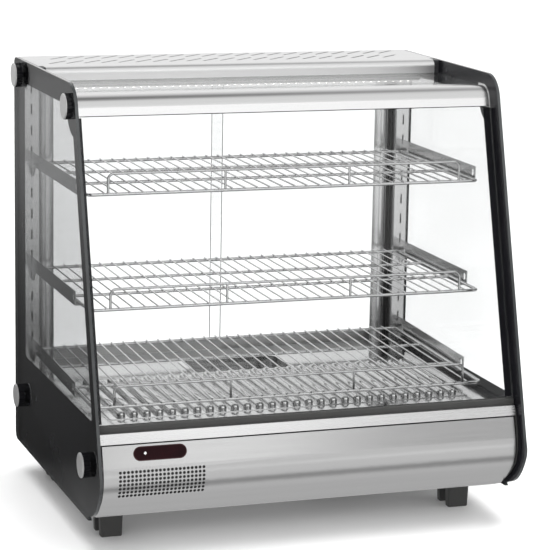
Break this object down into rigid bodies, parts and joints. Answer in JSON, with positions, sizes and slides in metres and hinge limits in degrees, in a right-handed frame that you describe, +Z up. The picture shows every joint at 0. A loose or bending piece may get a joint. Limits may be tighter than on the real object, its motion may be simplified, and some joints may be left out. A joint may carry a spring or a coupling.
{
  "type": "hot food display case",
  "caption": "Countertop heated food display case with glass sides, sloping glass front, wire shelves with guard rails and sliding rear doors.",
  "frame": {"origin": "midway between the two side glasses, within 5 mm of the centre of the overall box, on the surface that the four feet stand on", "axes": "+X across the width to the right as seen by a customer in front, -Y towards the customer, +Z up"},
  "size_m": [0.692, 0.5675, 0.686],
  "materials": {
    "clear_glass": "clear toughened glass, polished edges",
    "black_print": "black enamel print fused to the glass",
    "knob_plastic": "black moulded plastic",
    "satin_steel": "satin steel disc",
    "brushed_steel": "brushed stainless steel",
    "polished_steel": "bright stainless steel",
    "chrome_wire": "chromed wire",
    "galvanised_sheet": "plain steel sheet",
    "anodised_track": "anodised aluminium",
    "door_plastic": "satin aluminium door frame",
    "black_plastic": "black moulded plastic",
    "black_rubber": "black rubber",
    "tinted_window": "dark red tinted window",
    "circuit_board": "circuit board",
    "diffuser": "milky light strip",
    "switch_green": "green rocker",
    "switch_red": "red rocker",
    "heater_steel": "heater sheath",
    "motor_paint": "painted motor",
    "fan_plastic": "fan moulding",
    "screw_steel": "plated screw"
  },
  "bodies": {
    "case": {"base_pan": "galvanised_sheet", "brackets_bottom": "brushed_steel", "brackets_middle": "brushed_steel", "brackets_top": "brushed_steel", "cable_gland": "black_plastic", "cap_screws_right": "satin_steel", "clamp_knobs_left": "knob_plastic", "corner_post_left": "brushed_steel", "corner_post_right": "brushed_steel", "cover_clips": "black_plastic", "deck_plate": "polished_steel", "display_board": "circuit_board", "display_window": "tinted_window", "fan_motor": "motor_paint", "feet": "black_rubber", "front_gasket": "black_rubber", "front_glass": "clear_glass", "front_glass_print": "black_print", "front_panel": "brushed_steel", "front_strip": "brushed_steel", "heater_cover": "polished_steel", "heating_element": "heater_steel", "knob_caps_left": "satin_steel", "light_bar": "anodised_track", "light_diffuser": "diffuser", "light_driver": "black_plastic", "lower_track": "anodised_track", "profile_ends": "polished_steel", "rear_cover": "brushed_steel", "rear_panel": "galvanised_sheet", "rear_screws": "screw_steel", "side_fillers": "black_rubber", "side_glass_left": "clear_glass", "side_glass_right": "clear_glass", "side_print_left": "black_print", "side_print_right": "black_print", "switch_bezels": "black_plastic", "terminal_block": "black_plastic", "thermostat_body": "black_plastic", "top_front_profile": "brushed_steel", "top_glass": "clear_glass", "upper_track": "anodised_track"},
    "door_left": {"door_left_frame": "door_plastic", "door_left_glass": "clear_glass", "door_left_pull": "black_plastic"},
    "door_right": {"door_right_frame": "door_plastic", "door_right_glass": "clear_glass", "door_right_pull": "black_plastic"},
    "top_shelf": {"shelf_top": "chrome_wire", "guard_rail_top": "chrome_wire"},
    "middle_shelf": {"shelf_middle": "chrome_wire", "guard_rail_middle": "chrome_wire"},
    "bottom_shelf": {"shelf_bottom": "chrome_wire", "guard_rail_bottom": "chrome_wire"},
    "water_pan": {"water_tray": "polished_steel"},
    "power_rocker": {"power_switch": "switch_green"},
    "light_rocker": {"light_switch": "switch_red"},
    "thermostat_control": {"thermostat_knob": "black_plastic"},
    "fan": {"fan_blades": "fan_plastic"}
  },
  "joints": [
    {"name": "door_left_slide", "type": "slide", "parent": "case", "child": "door_left", "axis": [1, 0, 0], "range_m": [0, 0.283]},
    {"name": "door_right_slide", "type": "slide", "parent": "case", "child": "door_right", "axis": [1, 0, 0], "range_m": [-0.283, 0]},
    {"name": "top_shelf_lift", "type": "slide", "parent": "case", "child": "top_shelf", "axis": [0, 0, 1], "range_m": [0, 0.02]},
    {"name": "middle_shelf_lift", "type": "slide", "parent": "case", "child": "middle_shelf", "axis": [0, 0, 1], "range_m": [0, 0.02]},
    {"name": "bottom_shelf_lift", "type": "slide", "parent": "case", "child": "bottom_shelf", "axis": [0, 0, 1], "range_m": [0, 0.02]},
    {"name": "water_pan_lift", "type": "slide", "parent": "case", "child": "water_pan", "axis": [0, 0, 1], "range_m": [0, 0.018]},
    {"name": "power_rocker_tilt", "type": "hinge", "parent": "case", "child": "power_rocker", "pos_m": [0.262, 0.2585, 0.112], "axis": [1, 0, 0], "range_deg": [0, 16]},
    {"name": "light_rocker_tilt", "type": "hinge", "parent": "case", "child": "light_rocker", "pos_m": [0.226, 0.2585, 0.112], "axis": [1, 0, 0], "range_deg": [0, 16]},
    {"name": "thermostat_turn", "type": "hinge", "parent": "case", "child": "thermostat_control", "pos_m": [0.16, 0.276, 0.112], "axis": [0, -1, 0], "range_deg": [0, 270]},
    {"name": "fan_spin", "type": "hinge", "parent": "case", "child": "fan", "pos_m": [0.12, -0.034, 0.109], "axis": [0, 0, 1], "continuous": true}
  ]
}
